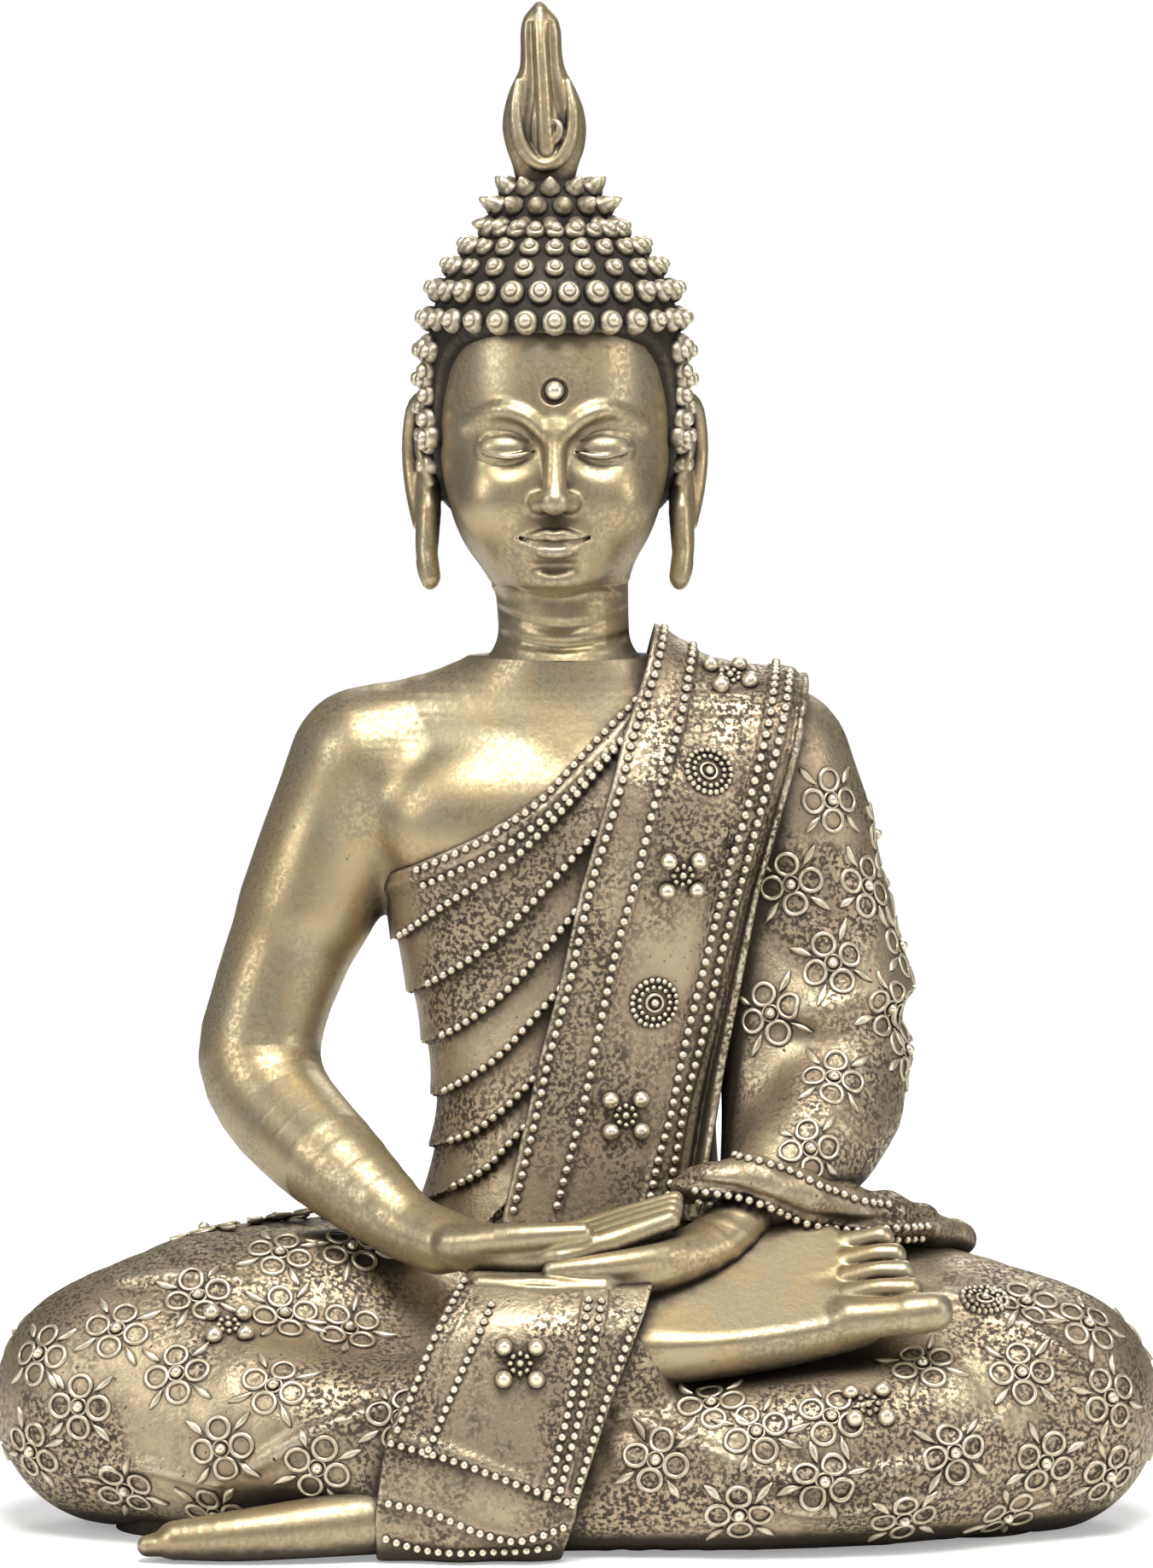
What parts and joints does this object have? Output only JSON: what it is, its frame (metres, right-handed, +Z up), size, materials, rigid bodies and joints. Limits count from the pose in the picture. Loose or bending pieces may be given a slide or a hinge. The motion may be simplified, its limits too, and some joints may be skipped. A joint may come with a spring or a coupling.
{
  "type": "seated buddha statue",
  "caption": "Seated meditating figure with crossed legs, hands in the lap, draped robe over one shoulder, curled hair, topknot and flame finial.",
  "frame": {"origin": "centre of the footprint's bounding box, on the surface that the statue stands on", "axes": "+Z up, the figure faces -Y, its left hand is on the +X side"},
  "size_m": [0.2257, 0.1113, 0.3001],
  "materials": {
    "antique_gold": "satin antique champagne-gold metallic paint on cast resin, with dark patina rubbed into the hollows",
    "raised_highlight": "the same metallic paint, dry-brushed brighter on raised beads, rings and edges",
    "dark_hair": "antique metallic paint with a heavier dark-brown patina between the curls",
    "peg_metal": "plain drawn locating pegs, hidden inside",
    "felt": "black self-adhesive felt"
  },
  "bodies": {
    "root": {"base_plate": "antique_gold", "felt_pads": "felt", "lower_body": "antique_gold", "left_foot": "antique_gold", "right_foot": "antique_gold", "torso": "antique_gold", "head": "antique_gold", "left_ear": "antique_gold", "right_ear": "antique_gold", "hair_cap": "dark_hair", "hair_curls": "dark_hair", "topknot": "dark_hair", "topknot_curls": "dark_hair", "flame_finial": "raised_highlight", "finial_peg": "peg_metal", "forehead_bead": "raised_highlight", "neck_peg": "peg_metal", "arm_pegs": "peg_metal", "right_arm": "antique_gold", "right_hand": "antique_gold", "left_sleeve": "antique_gold", "left_hand": "antique_gold", "sleeve_hem": "antique_gold", "sleeve_hem_beads": "raised_highlight", "sleeve_flowers": "raised_highlight", "robe_drape": "antique_gold", "drape_beads": "raised_highlight", "robe_sash": "antique_gold", "sash_beads": "raised_highlight", "sash_medallions": "raised_highlight", "lap_cloth": "antique_gold", "lap_cloth_beads": "raised_highlight", "right_leg_flowers": "raised_highlight", "left_leg_flowers": "raised_highlight"}
  },
  "joints": []
}
